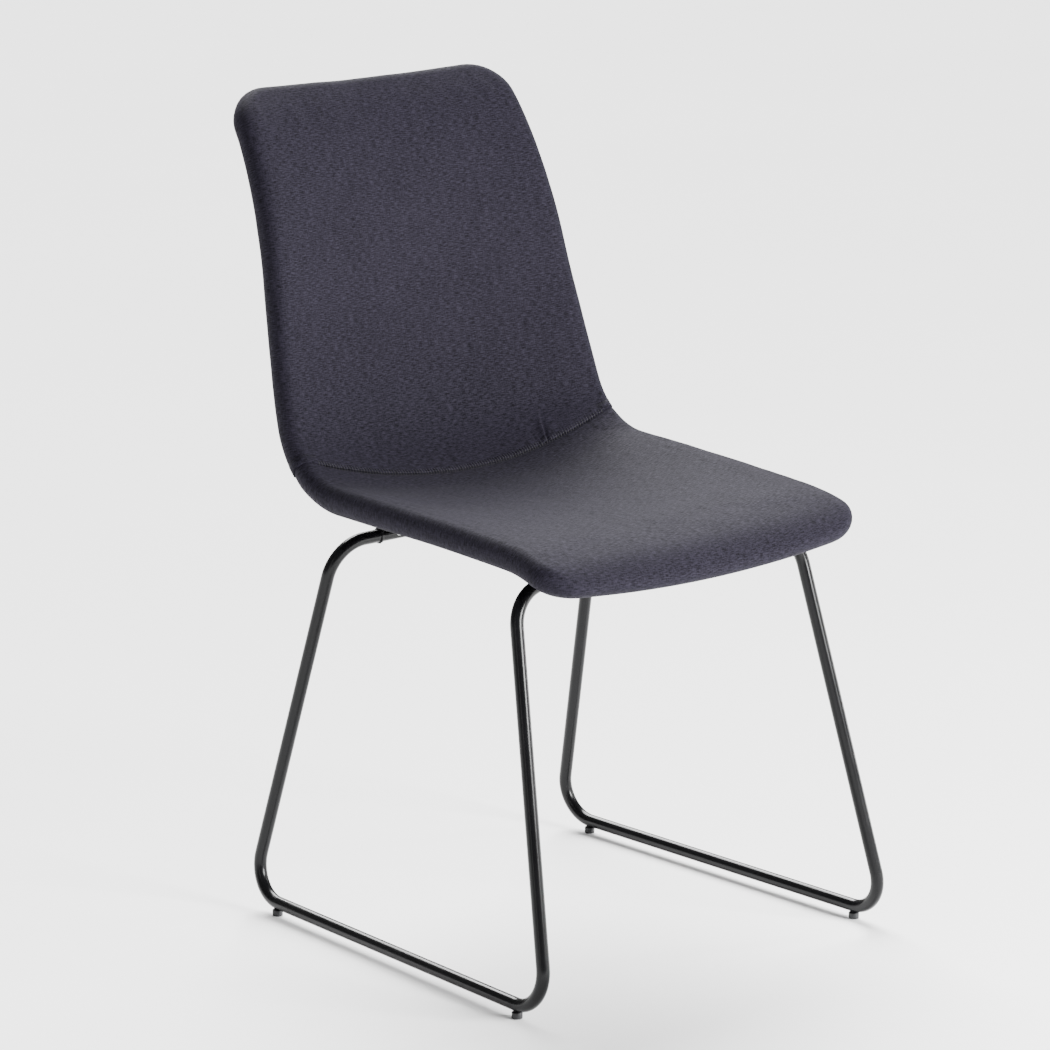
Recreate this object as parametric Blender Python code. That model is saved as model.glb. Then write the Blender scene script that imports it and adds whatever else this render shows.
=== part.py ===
"""Upholstered shell dining chair on a bent-tube sled frame. Metres, +Z up, -Y front, +X the chair's right
side as seen from the front."""

from math import cos, hypot, pi, radians, sin, sqrt

import bmesh
import bpy
from mathutils import Vector

MM = 0.001
GAP = 0.3 * MM                      # clearance between neighbouring solids
PARTING = 1.4 * MM                  # gap between the upholstery's front and rear halves
CENTRE_Y = 45.2 * MM                # middle of the whole chair, measured from the middle of the sled base

# Shell: the side edge of its front face starts at the front lip and runs back and up in arcs.
LIP_Y = -239 * MM
LIP_Z = 441 * MM
LIP_HEADING = radians(58)
PROFILE = (                         # each arc's length and the turn it makes
    (39 * MM, radians(-40)),        # front lip
    (56 * MM, radians(-14.4)),      # waterfall
    (264 * MM, radians(-2)),        # seat
    (90 * MM, radians(71.3)),       # bend from the seat up into the back
    (155 * MM, radians(4)),         # lumbar part of the back
    (152 * MM, radians(-18.3)),     # upper back, leaning away
    (71 * MM, radians(-26)),        # rolled top
)
LENGTH = sum(length for length, turn in PROFILE)
BEND = sum(length for length, turn in PROFILE[:3]) + PROFILE[3][0] / 2
LIP_BOW = 20 * MM                   # how far the front lip bulges forward in the middle
BOW_REACH = 100 * MM
HALF_WIDTH = ((0, 218), (100, 213), (404, 219), (604, 202), (807, 184.5))
DISH = ((0, 3), (90, 8), (180, 15.5), (280, 26), (404, 29), (504, 33), (684, 21), (827, 4))
THICKNESS = ((0, 28.5), (350, 28.5), (500, 33), (827, 33))
FRONT_CORNER = 44 * MM
TOP_CORNER = 48 * MM
EDGE_ROUND = 0.92                   # how far in the edge rounding reaches, as a share of half the thickness

COVER = 1.2 * MM
WADDING = 4 * MM
PLY = 9 * MM
PLY_INSET = 12 * MM
PAD_CLEAR = 1.6 * MM                # between the cover and the foam or felt inside it
PLY_CLEAR = 2.0 * MM                # hollow left round the plywood, which takes up its faceting
ACROSS = 10                         # cells across the shell
ROWS = 16                           # cells along the seat, and along the back

# Sled frame
TUBE_R = 7 * MM
TUBE_BORE_R = 5.5 * MM
TUBE_SIDES = 10
RAIL_Z = 14.5 * MM
FRONT_FOOT = (238 * MM, -252 * MM)  # where the leg and rail lines cross, x and y
REAR_FOOT = (221 * MM, 253 * MM)
FRONT_TOP = (193.7 * MM, -151.8 * MM, 424.5 * MM)
REAR_TOP = (182.6 * MM, 148.9 * MM, 413.5 * MM)
FOOT_BEND = 38 * MM
TOP_BEND = 42 * MM
BEND_STEPS = 5
CROSS_HALF = 125 * MM
GLIDE_Y = (-205 * MM, 206 * MM)
GLIDE_R = 5.6 * MM
GLIDE_STEM_R = 2.2 * MM

# Seat fixings
FIX_X = 110 * MM
FIX_INBOARD = 19 * MM               # from the cross tube's axis to the screw's
PLATE = (24 * MM, 44 * MM, 2.5 * MM)
SPACER_R = 11 * MM
SCREW_R = 3 * MM
HOLE_R = 3.4 * MM
HEAD_R = 5.25 * MM
HEAD_H = 3.3 * MM
WASHER_R = 8 * MM
WASHER_H = 1.2 * MM
TNUT_R = 4 * MM
TNUT_FLANGE_R = 9.5 * MM
TNUT_FLANGE_H = 1.2 * MM
ROUND_SIDES = 12


def clear_scene():
    for item in list(bpy.data.objects):
        bpy.data.objects.remove(item)


def material(name, rgb, roughness, metallic=0.0):
    made = bpy.data.materials.new(name)
    made.use_nodes = True
    shader = made.node_tree.nodes["Principled BSDF"]
    shader.inputs["Base Color"].default_value = (*rgb, 1)
    shader.inputs["Roughness"].default_value = roughness
    shader.inputs["Metallic"].default_value = metallic
    made.diffuse_color = (*rgb, 1)
    return made


def add_object(name, mesh, finish, root, at=(0, 0, 0)):
    item = bpy.data.objects.new(name, mesh)
    bpy.context.scene.collection.objects.link(item)
    item.parent = root
    item.location = at
    rgb, roughness, metallic = finish
    mesh.materials.append(material(name, rgb, roughness, metallic))
    return item


def mesh_from(name, build, sharp=40):
    """One closed mesh from build(bm), its faces turned outward and its round parts shaded smooth."""
    bm = bmesh.new()
    build(bm)
    bmesh.ops.recalc_face_normals(bm, faces=bm.faces)
    if bm.calc_volume(signed=True) < 0:
        bmesh.ops.reverse_faces(bm, faces=bm.faces)
    mesh = bpy.data.meshes.new(name)
    bm.to_mesh(mesh)
    bm.free()
    mesh.shade_smooth()
    mesh.set_sharp_from_angle(angle=radians(sharp))
    return mesh


# ---- the shell's surfaces -------------------------------------------------------------------------------

def along(table, t):
    """Value in metres at t, on a smooth curve through a table of millimetre stations and values."""
    t = t / MM
    last = len(table) - 1
    slopes = []
    for i in range(last + 1):
        before, after = table[max(i - 1, 0)], table[min(i + 1, last)]
        slopes.append((after[1] - before[1]) / (after[0] - before[0]))
    for i in range(last):
        (a, low), (b, high) = table[i], table[i + 1]
        if t <= b or i == last - 1:
            span = b - a
            s = min(max((t - a) / span, 0), 1)
            value = (low * (1 + 2 * s) * (1 - s) ** 2 + high * s * s * (3 - 2 * s)
                     + span * slopes[i] * s * (1 - s) ** 2 - span * slopes[i + 1] * s * s * (1 - s))
            break
    return value * MM


def profile(t):
    """Side edge of the front face at arc length t: its y, z and heading. Before 0 the first arc runs on."""
    y, z, heading = LIP_Y, LIP_Z, LIP_HEADING
    for number, (length, turn) in enumerate(PROFILE):
        last = number == len(PROFILE) - 1
        step = t if last else min(t, length)
        rate = turn / length
        end = heading + rate * step
        y += (sin(end) - sin(heading)) / rate
        z += (cos(heading) - cos(end)) / rate
        heading = end
        t -= step
        if t <= 0:
            break
    return y, z, heading


def outline_half(t, inset):
    """Half width at t of the outline moved inward by inset, with its rounded corners, and without them."""
    full = along(HALF_WIDTH, t) - inset
    from_end = min(t, LENGTH - t) - inset
    corner = (FRONT_CORNER if t < LENGTH / 2 else TOP_CORNER) - inset
    if from_end >= corner:
        return full, full, corner, from_end
    cut = corner - sqrt(max(corner ** 2 - (corner - from_end) ** 2, 0))
    return full - cut, full, corner, from_end


def shell_point(u, v, inset, half, shift, side):
    """Point on a layer's face. u is -1 to 1 across, v is 0 to 1 from lip to top. The layer is a slab of
    half-thickness half with rounded edges, its middle moved shift towards the rear; side -1 is its front
    face and 1 its rear face."""
    t = inset + (LENGTH - 2 * inset) * v
    reach, full, corner, from_end = outline_half(t, inset)
    x = u * reach
    side_gap = full - abs(x)
    if side_gap < corner and from_end < corner:
        depth = corner - hypot(corner - side_gap, corner - from_end)
    else:
        depth = min(side_gap, from_end)
    rounding = EDGE_ROUND * half
    rise = half * sqrt(max(1 - (1 - min(max(depth, 0) / rounding, 1)) ** 2, 0))
    crown = 1 - (x / along(HALF_WIDTH, t)) ** 2
    y, z, heading = profile(t - LIP_BOW * crown * max(1 - t / BOW_REACH, 0))
    offset = along(DISH, t) * crown + along(THICKNESS, t) / 2 + shift + side * (rise + PARTING / 2)
    return Vector((x, y + offset * sin(heading), z - offset * cos(heading)))


def cover_face(depth):
    """A face that lies depth inside the whole upholstered slab."""
    def face(u, v, side):
        t = depth + (LENGTH - 2 * depth) * v
        return shell_point(u, v, depth, along(THICKNESS, t) / 2 - depth, 0, side)
    return face


def ply_face(grow):
    """A face of the plywood core, grown outward by grow."""
    def face(u, v, side):
        inset = PLY_INSET - grow
        t = inset + (LENGTH - 2 * inset) * v
        shift = along(THICKNESS, t) / 2 - (COVER + WADDING + PLY_CLEAR + PLY / 2)
        return shell_point(u, v, inset, PLY / 2 + grow, shift, side)
    return face


def columns():
    return [sin(pi / 2 * (2 * i / ACROSS - 1)) for i in range(ACROSS + 1)]


def stations(part):
    """Row stations along the seat, the back or both, closer together at the ends and the bend."""
    bend = BEND / LENGTH
    seat = [bend * (1 - cos(pi * i / ROWS)) / 2 for i in range(ROWS + 1)]
    back = [bend + (1 - bend) * (1 - cos(pi * i / ROWS)) / 2 for i in range(ROWS + 1)]
    if part == "seat":
        return seat[:-1] + [bend - GAP / LENGTH]
    if part == "back":
        return [bend + GAP / LENGTH] + back[1:]
    return seat + back[1:]


def grid(bm, face, side, part):
    return [[bm.verts.new(face(u, v, side)) for u in columns()] for v in stations(part)]


def rim(table):
    """The grid's border vertices, in order round it."""
    left = [row[0] for row in table]
    right = [row[-1] for row in table]
    return table[0][:-1] + right[:-1] + table[-1][:0:-1] + left[:0:-1]


def skin(bm, near, far):
    """Closes two grids of the same size into one body with walls round their rims. Each cell is cut into
    triangles the same way, so nested layers stay parallel."""
    for table in (near, far):
        for low, high in zip(table, table[1:]):
            for i in range(len(low) - 1):
                bm.faces.new((low[i], low[i + 1], high[i + 1]))
                bm.faces.new((low[i], high[i + 1], high[i]))
    a, b = rim(near), rim(far)
    for i, vert in enumerate(a):
        j = (i + 1) % len(a)
        bm.faces.new((vert, a[j], b[j], b[i]))


def layer(name, outer, inner, side, part, finish, root):
    """A layer on one side of the shell, between two nested faces, over its seat or its back."""
    def build(bm):
        skin(bm, grid(bm, outer, side, part), grid(bm, inner, side, part))
    return add_object(name, mesh_from(name, build), finish, root)


def underside_z(x, y):
    """Height of the upholstered underside at x, y, found by halving along the seat."""
    low, high = 0.0, BEND / LENGTH
    for _ in range(30):
        middle = (low + high) / 2
        u = x / outline_half(LENGTH * middle, 0)[0]
        point = cover_face(0)(u, middle, 1)
        if point.y < y:
            low = middle
        else:
            high = middle
    return point.z


# ---- turned and bored pieces ----------------------------------------------------------------------------

def ring(bm, radius, z, centre=(0, 0), sides=ROUND_SIDES):
    turn = 2 * pi / sides
    return [bm.verts.new((centre[0] + radius * cos(turn * i), centre[1] + radius * sin(turn * i), z))
            for i in range(sides)]


def bridge(bm, low, high):
    for i, vert in enumerate(low):
        j = (i + 1) % len(low)
        bm.faces.new((vert, low[j], high[j], high[i]))


def turned(bm, stack, centre=(0, 0), sides=ROUND_SIDES):
    """A solid turned about a vertical axis from (radius, z) steps, capped at both ends."""
    rings = [ring(bm, radius, z, centre, sides) for radius, z in stack]
    for low, high in zip(rings, rings[1:]):
        bridge(bm, low, high)
    bm.faces.new(rings[0][::-1])
    bm.faces.new(rings[-1])


def turned_tube(bm, stack, sides=ROUND_SIDES):
    """As turned, but the stack is a closed outline off the axis, so the piece has a bore."""
    rings = [ring(bm, radius, z, sides=sides) for radius, z in stack]
    for low, high in zip(rings, rings[1:] + rings[:1]):
        bridge(bm, low, high)


def cut(item, name, build):
    """Takes a shape out of an object, with a Boolean whose cutter stays in the file as a guide."""
    cutter = bpy.data.objects.new(name, mesh_from(name, build))
    bpy.context.scene.collection.objects.link(cutter)
    cutter.parent = item.parent
    cutter.hide_render = True
    cutter.display_type = "WIRE"
    modifier = item.modifiers.new(name, "BOOLEAN")
    modifier.operation = "DIFFERENCE"
    modifier.object = cutter
    return cutter


def fix_points():
    """The four screws: name, x, y and the bottom of the plate there."""
    plate_rise = TUBE_R + GAP
    front = (FRONT_TOP[1] + FIX_INBOARD, FRONT_TOP[2] + plate_rise)
    rear = (REAR_TOP[1] - FIX_INBOARD, REAR_TOP[2] + plate_rise)
    return [(f"{end}_{side}", x, *place)
            for end, place in (("front", front), ("rear", rear))
            for side, x in (("left", -FIX_X), ("right", FIX_X))]


def tnut_seat(x, y):
    """Height of the T-nut flange's underside: it is sunk level into the plywood's upper face."""
    return underside_z(x, y) + COVER + WADDING + PLY_CLEAR + PLY - 1.5 * MM


# ---- the shell's pieces ---------------------------------------------------------------------------------

FABRIC = ((0.035, 0.035, 0.046), 0.9, 0.0)
FOAM = ((0.80, 0.76, 0.62), 0.95, 0.0)
FELT = ((0.55, 0.55, 0.55), 0.95, 0.0)
BIRCH = ((0.62, 0.44, 0.26), 0.6, 0.0)
BLACK_COAT = ((0.012, 0.012, 0.014), 0.35, 0.0)
BLACK_PLASTIC = ((0.02, 0.02, 0.02), 0.5, 0.0)
ZINC = ((0.62, 0.63, 0.64), 0.35, 1.0)


def make_plywood(root):
    def build(bm):
        near = grid(bm, ply_face(0), -1, "all")
        far = grid(bm, ply_face(0), 1, "all")
        skin(bm, near, far)
    return add_object("plywood_shell", mesh_from("plywood_shell", build), BIRCH, root)


def make_upholstery(root):
    """Foam in front, thin felt behind, and a sewn cover of four panels round them."""
    inner_cover = cover_face(COVER)
    pad_face = cover_face(COVER + PAD_CLEAR)
    ply_gap = ply_face(PLY_CLEAR)
    made = {}
    for part, front, rear in (("seat", "seat_cover", "underside_cover"),
                              ("back", "inner_back_cover", "outer_back_cover")):
        made[front] = layer(front, cover_face(0), inner_cover, -1, part, FABRIC, root)
        made[rear] = layer(rear, cover_face(0), inner_cover, 1, part, FABRIC, root)
        made[part + "_foam"] = layer(part + "_foam", pad_face, ply_gap, -1, part, FOAM, root)
        made[part + "_felt"] = layer(part + "_felt", pad_face, ply_gap, 1, part, FELT, root)
    return made


def bore_shell(plywood, covers):
    """Screw holes through the felt and the underside cover, and each T-nut's stepped seat in the plywood,
    open into a pocket in the foam."""
    through, seats, pockets = [], [], []
    for _, x, y, _ in fix_points():
        low = underside_z(x, y)
        flange = tnut_seat(x, y)
        clear = TNUT_FLANGE_R + 2 * GAP
        top = flange + TNUT_FLANGE_H + 3 * MM
        through.append(((HOLE_R + MM, low - 9 * MM), (HOLE_R + MM, low + 12 * MM), x, y))
        seats.append((x, y, [(TNUT_R + GAP, low - 9 * MM), (TNUT_R + GAP, flange - GAP),
                             (clear, flange - GAP), (clear, top)]))
        pockets.append((x, y, [(clear, flange - 5 * MM), (clear, top)]))

    def drill(bm):
        for bottom, top, x, y in through:
            turned(bm, (bottom, top), (x, y))

    def seat(bm):
        for x, y, stack in seats:
            turned(bm, stack, (x, y))

    def pocket(bm):
        for x, y, stack in pockets:
            turned(bm, stack, (x, y))

    cut(covers["underside_cover"], "cutter_cover_holes", drill)
    cut(covers["seat_felt"], "cutter_felt_holes", drill)
    cut(plywood, "cutter_tnut_seats", seat)
    cut(covers["seat_foam"], "cutter_foam_pockets", pocket)


# ---- the sled frame -------------------------------------------------------------------------------------

def bent_route(corners, radii):
    """Centreline points through corners, each inner corner rounded to its own bend radius."""
    points = [corners[0]]
    for before, corner, after, radius in zip(corners, corners[1:], corners[2:], radii):
        a = (before - corner).normalized()
        b = (after - corner).normalized()
        half = a.angle(b) / 2
        centre = corner + (a + b).normalized() * (radius / sin(half))
        start = corner + a * (radius / (sin(half) / cos(half)))
        arm = start - centre
        axis = (-a).cross(b).normalized()
        sweep = pi - 2 * half
        side = axis.cross(arm)
        for i in range(BEND_STEPS + 1):
            angle = sweep * i / BEND_STEPS
            points.append(centre + arm * cos(angle) + side * sin(angle))
    points.append(corners[-1])
    return points


def sweep_tube(bm, points):
    """A round tube with its wall, open at both ends, along the points."""
    normal = Vector((0, 0, 1))
    outside, inside = [], []
    for i, point in enumerate(points):
        into = (point - points[i - 1]).normalized() if i else (points[1] - point).normalized()
        out = (points[i + 1] - point).normalized() if i < len(points) - 1 else into
        tangent = (into + out).normalized()
        stretch = 1 / max(tangent.dot(into), 0.5)
        normal = (normal - tangent * normal.dot(tangent)).normalized()
        across = tangent.cross(normal)
        hinge = into.cross(out)
        for radius, rings in ((TUBE_R, outside), (TUBE_BORE_R, inside)):
            loop = []
            for k in range(TUBE_SIDES):
                angle = 2 * pi * k / TUBE_SIDES
                arm = (normal * cos(angle) + across * sin(angle)) * radius
                if hinge.length > 1e-9:
                    bend = tangent.cross(hinge.normalized())
                    arm += bend * arm.dot(bend) * (stretch - 1)
                loop.append(bm.verts.new(point + arm))
            rings.append(loop)
    for rings in (outside, inside):
        for low, high in zip(rings, rings[1:]):
            bridge(bm, low, high)
    for outer, inner in ((outside[0], inside[0]), (outside[-1], inside[-1])):
        bridge(bm, outer, inner)


def make_side_frame(side, sign, root):
    def at(x, y, z):
        return Vector((sign * x, y, z))
    corners = [at(CROSS_HALF + GAP, *FRONT_TOP[1:]), at(*FRONT_TOP), at(*FRONT_FOOT, RAIL_Z),
               at(*REAR_FOOT, RAIL_Z), at(*REAR_TOP), at(CROSS_HALF + GAP, *REAR_TOP[1:])]
    route = bent_route(corners, (TOP_BEND, FOOT_BEND, FOOT_BEND, TOP_BEND))
    name = f"side_frame_{side}"
    frame = add_object(name, mesh_from(name, lambda bm: sweep_tube(bm, route)), BLACK_COAT, root)

    def stem_holes(bm):
        for y in GLIDE_Y:
            turned(bm, ((GLIDE_STEM_R + GAP, 0), (GLIDE_STEM_R + GAP, RAIL_Z)), glide_at(sign, y), 10)

    cut(frame, f"cutter_glide_holes_{side}", stem_holes)


def glide_at(sign, y):
    """A glide's x and y, on the rail's centreline."""
    share = (y - FRONT_FOOT[1]) / (REAR_FOOT[1] - FRONT_FOOT[1])
    return sign * (FRONT_FOOT[0] + (REAR_FOOT[0] - FRONT_FOOT[0]) * share), y


def make_glides(root):
    """Button glides, their stems pressed up into holes in the rails."""
    top = RAIL_Z - TUBE_R - GAP
    stack = ((GLIDE_R - MM, 0), (GLIDE_R, MM), (GLIDE_R, top - 1.5 * MM), (GLIDE_R - 0.8 * MM, top),
             (GLIDE_STEM_R, top), (GLIDE_STEM_R, RAIL_Z - 2 * MM))
    for end, y in zip(("front", "rear"), GLIDE_Y):
        for side, sign in (("left", -1), ("right", 1)):
            name = f"glide_{end}_{side}"
            mesh = mesh_from(name, lambda bm: turned(bm, stack, sides=12))
            add_object(name, mesh, BLACK_PLASTIC, root, (*glide_at(sign, y), 0))


def make_cross_tubes(root):
    """Straight tubes butt-welded between the two side frames under the seat."""
    for end, (_, y, z) in (("front", FRONT_TOP), ("rear", REAR_TOP)):
        ends = [Vector((-CROSS_HALF, y, z)), Vector((CROSS_HALF, y, z))]
        name = f"cross_tube_{end}"
        add_object(name, mesh_from(name, lambda bm: sweep_tube(bm, ends)), BLACK_COAT, root)


# ---- seat fixings ---------------------------------------------------------------------------------------

def make_plate(name, x, y, low, root):
    """A flat tab welded on the cross tube, its inner end bored for the screw."""
    wide, long, thick = PLATE
    inward = 1 if y < 0 else -1

    def build(bm):
        bmesh.ops.create_cube(bm, size=1)
        for vert in bm.verts:
            vert.co.x *= wide
            vert.co.y = vert.co.y * long - inward * (long / 2 - wide / 2)
            vert.co.z = (vert.co.z + 0.5) * thick
        corners = [e for e in bm.edges if abs(e.verts[0].co.z - e.verts[1].co.z) > thick / 2]
        bmesh.ops.bevel(bm, geom=corners, offset=4 * MM, segments=3, affect="EDGES", profile=0.5)

    plate = add_object(f"mounting_plate_{name}", mesh_from(name, build), BLACK_COAT, root, (x, y, low))
    hole = ((HOLE_R, low - 2 * MM), (HOLE_R, low + thick + 2 * MM))
    cut(plate, f"cutter_plate_{name}", lambda bm: turned(bm, hole, (x, y)))


def make_spacer(name, x, y, low, root):
    """Moulded spacer between plate and shell, its top shaped to the underside."""
    bottom = low + PLATE[2] + GAP

    def build(bm):
        rings = []
        for radius in (HOLE_R, SPACER_R):
            base = ring(bm, radius, bottom, (x, y))
            top = ring(bm, radius, bottom, (x, y))
            for vert in top:
                vert.co.z = underside_z(vert.co.x, vert.co.y) - 2 * GAP
            rings.append((base, top))
        (inner_base, inner_top), (outer_base, outer_top) = rings
        bridge(bm, inner_base, inner_top)
        bridge(bm, outer_base, outer_top)
        bridge(bm, inner_base, outer_base)
        bridge(bm, inner_top, outer_top)

    add_object(f"spacer_{name}", mesh_from(name, build), BLACK_PLASTIC, root)


def make_screw(name, x, y, low, root):
    """Button-head socket screw from below, with its washer, into the T-nut."""
    washer_top = -GAP
    under_head = washer_top - WASHER_H - GAP
    tip = tnut_seat(x, y) - low - 0.5 * MM
    stack = ((HEAD_R * 0.62, under_head - HEAD_H), (HEAD_R * 0.92, under_head - HEAD_H * 0.65),
             (HEAD_R, under_head - HEAD_H * 0.2), (HEAD_R, under_head), (SCREW_R, under_head),
             (SCREW_R, tip - 0.6 * MM), (SCREW_R - 0.6 * MM, tip))
    at = (x, y, low)
    screw = add_object(f"screw_{name}", mesh_from(name, lambda bm: turned(bm, stack)), ZINC, root, at)

    def socket(bm):
        floor = low + under_head - HEAD_H
        turned(bm, ((2 * MM, floor - MM), (2 * MM, floor + 2 * MM)), (x, y), 6)

    cut(screw, f"cutter_socket_{name}", socket)
    washer = ((HOLE_R, washer_top - WASHER_H), (WASHER_R, washer_top - WASHER_H),
              (WASHER_R, washer_top), (HOLE_R, washer_top))
    add_object(f"washer_{name}", mesh_from(name, lambda bm: turned_tube(bm, washer)), ZINC, root, at)


def make_tnut(name, x, y, root):
    """T-nut: a threaded barrel under a round flange, let into the plywood from above."""
    bore = SCREW_R + GAP / 2
    barrel = 5.5 * MM
    stack = ((bore, -barrel), (TNUT_R, -barrel), (TNUT_R, 0), (TNUT_FLANGE_R, 0),
             (TNUT_FLANGE_R, TNUT_FLANGE_H), (bore, TNUT_FLANGE_H))
    mesh = mesh_from(name, lambda bm: turned_tube(bm, stack))
    add_object(f"tnut_{name}", mesh, ZINC, root, (x, y, tnut_seat(x, y)))


def make_chair():
    clear_scene()
    root = bpy.data.objects.new("chair", None)
    bpy.context.scene.collection.objects.link(root)
    root.location = (0, -CENTRE_Y, 0)
    plywood = make_plywood(root)
    covers = make_upholstery(root)
    bore_shell(plywood, covers)
    for side, sign in (("left", -1), ("right", 1)):
        make_side_frame(side, sign, root)
    make_cross_tubes(root)
    make_glides(root)
    for name, x, y, low in fix_points():
        make_plate(name, x, y, low, root)
        make_spacer(name, x, y, low, root)
        make_screw(name, x, y, low, root)
        make_tnut(name, x, y, root)


make_chair()
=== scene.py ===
"""Upholstered shell dining chair on a bent-tube sled frame. Metres, +Z up, -Y front."""

from math import acos, cos, exp, hypot, pi, radians, sin, tanh, tau

import bmesh
import bpy
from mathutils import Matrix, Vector
from mathutils.noise import noise


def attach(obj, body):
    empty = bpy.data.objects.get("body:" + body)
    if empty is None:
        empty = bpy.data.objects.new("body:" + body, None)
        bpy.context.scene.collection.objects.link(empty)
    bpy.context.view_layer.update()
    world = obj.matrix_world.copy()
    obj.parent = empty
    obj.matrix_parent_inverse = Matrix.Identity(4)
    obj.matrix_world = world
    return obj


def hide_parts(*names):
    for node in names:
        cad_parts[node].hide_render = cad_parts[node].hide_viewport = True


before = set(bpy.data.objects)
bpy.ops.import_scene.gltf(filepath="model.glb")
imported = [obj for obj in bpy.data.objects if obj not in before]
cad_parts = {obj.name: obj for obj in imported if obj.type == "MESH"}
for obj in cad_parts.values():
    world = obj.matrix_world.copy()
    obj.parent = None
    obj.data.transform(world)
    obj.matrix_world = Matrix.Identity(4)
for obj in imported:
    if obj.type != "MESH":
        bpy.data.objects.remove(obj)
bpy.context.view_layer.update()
MM = 0.001


# ---- studio ---------------------------------------------------------------------------------------------
# The chair stands on a pale painted floor, lit by a broad bank of light from above and behind and a
# softbox in front, with a narrow strip at each side that draws the highlights along the tubes.
# The camera stands to the chair's left and in front, a little above the seat.

def linear(hex_colour):
    """An sRGB hex colour as linear RGBA."""
    channels = [int(hex_colour[i:i + 2], 16) / 255 for i in (1, 3, 5)]
    return (*(c / 12.92 if c <= 0.04045 else ((c + 0.055) / 1.055) ** 2.4 for c in channels), 1.0)


def add(tree, kind, values=None, links=None, **settings):
    """Adds one shader node, sets its settings and socket values, and links sources into its sockets."""
    made = tree.nodes.new("ShaderNode" + kind)
    for name, value in settings.items():
        setattr(made, name, value)
    for socket, value in (values or {}).items():
        made.inputs[socket].default_value = value
    for socket, source in (links or {}).items():
        tree.links.new(source, made.inputs[socket])
    return made


MIX_A, MIX_B, MIXED = 6, 7, 2       # the colour sockets of a Mix node


def new_material(name):
    """An empty material: its node tree, its output node's shader socket filled by a Principled shader."""
    made = bpy.data.materials.new(name)
    made.use_nodes = True
    made.node_tree.nodes.clear()
    shader = add(made.node_tree, "BsdfPrincipled")
    add(made.node_tree, "OutputMaterial", links={"Surface": shader.outputs[0]})
    return made, made.node_tree, shader


def wire(tree, shader, colour, roughness, bump):
    """Feeds a finish's three patterns into its shader."""
    tree.links.new(colour, shader.inputs["Base Color"])
    tree.links.new(roughness, shader.inputs["Roughness"])
    tree.links.new(bump, shader.inputs["Normal"])


def link_object(name, data):
    item = bpy.data.objects.new(name, data)
    bpy.context.scene.collection.objects.link(item)
    return item


FLOOR_HALF = 60                     # far enough out that its edge is below every view's horizon


def make_floor():
    """Matt floor paint: pale, even, with a faint roller texture."""
    paint, tree, shader = new_material("matt_floor_paint")
    place = add(tree, "TexCoord").outputs["Object"]
    mottle = add(tree, "TexNoise", {"Scale": 1.3, "Detail": 3}, {"Vector": place})
    tone = add(tree, "Mix", {MIX_A: linear("#F4F4F4"), MIX_B: linear("#FAFAFA")},
               {0: mottle.outputs["Fac"]}, data_type="RGBA")
    roller = add(tree, "TexNoise", {"Scale": 400, "Detail": 2}, {"Vector": place})
    bump = add(tree, "Bump", {"Strength": 0.05, "Distance": 0.2 * MM}, {"Height": roller.outputs["Fac"]})
    shader.inputs["Roughness"].default_value = 0.85
    shader.inputs["Specular IOR Level"].default_value = 0.2
    tree.links.new(tone.outputs[MIXED], shader.inputs["Base Color"])
    tree.links.new(bump.outputs[0], shader.inputs["Normal"])
    half = FLOOR_HALF
    mesh = bpy.data.meshes.new("floor")
    mesh.from_pydata([(-half, -half, 0), (half, -half, 0), (half, half, 0), (-half, half, 0)], [],
                     [(0, 1, 2, 3)])
    mesh.materials.append(paint)
    link_object("floor", mesh)


def make_light(name, kind, power, at, aim, **settings):
    lamp = bpy.data.lights.new(name, kind)
    lamp.energy = power
    for setting, value in settings.items():
        setattr(lamp, setting, value)
    item = link_object(name, lamp)
    item.location = at
    item.rotation_euler = (Vector(aim) - Vector(at)).to_track_quat("-Z", "Y").to_euler()


def make_studio():
    world = bpy.data.worlds.new("studio")
    world.use_nodes = True
    world.node_tree.nodes["Background"].inputs["Color"].default_value = linear("#FFFFFF")
    world.node_tree.nodes["Background"].inputs["Strength"].default_value = 0.32
    bpy.context.scene.world = world
    make_light("overhead_bank", "SUN", 12.0, (1.0, 1.5, 2.2), (0, 0, 0), angle=radians(42))
    make_light("front_softbox", "AREA", 385, (1.2, -3.2, 1.3), (0, 0, 0.6),
               shape="RECTANGLE", size=1.2, size_y=1.2)
    make_light("right_strip", "AREA", 30, (2.4, -0.9, 0.9), (0, 0, 0.4),
               shape="RECTANGLE", size=0.12, size_y=1.8)
    make_light("left_strip", "AREA", 5, (-2.6, -0.9, 0.9), (0, 0, 0.3),
               shape="RECTANGLE", size=0.08, size_y=1.6)


def make_camera():
    azimuth, elevation, distance = radians(-41.016), radians(13.815), 4.6
    target = Vector((-0.0017, -0.0441, 0.419))
    lens = bpy.data.cameras.new("camera")
    lens.lens = 150.81
    lens.sensor_width = 36
    lens.shift_x = -0.0324
    lens.shift_y = 0.0119
    lens.clip_end = 60
    item = link_object("camera", lens)
    item.rotation_euler = (pi / 2 - elevation, 0, azimuth)
    away = Vector((sin(azimuth) * cos(elevation), -cos(azimuth) * cos(elevation), sin(elevation)))
    item.location = target + away * distance
    bpy.context.scene.camera = item


make_floor()
make_studio()
make_camera()


# ---- plywood shell --------------------------------------------------------------------------------------
# One moulding of nine-millimetre birch plywood, its rotary-cut veneers glued and pressed hot in a
# two-part mould, then routed to shape. The upholstery hides all of it.

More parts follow.
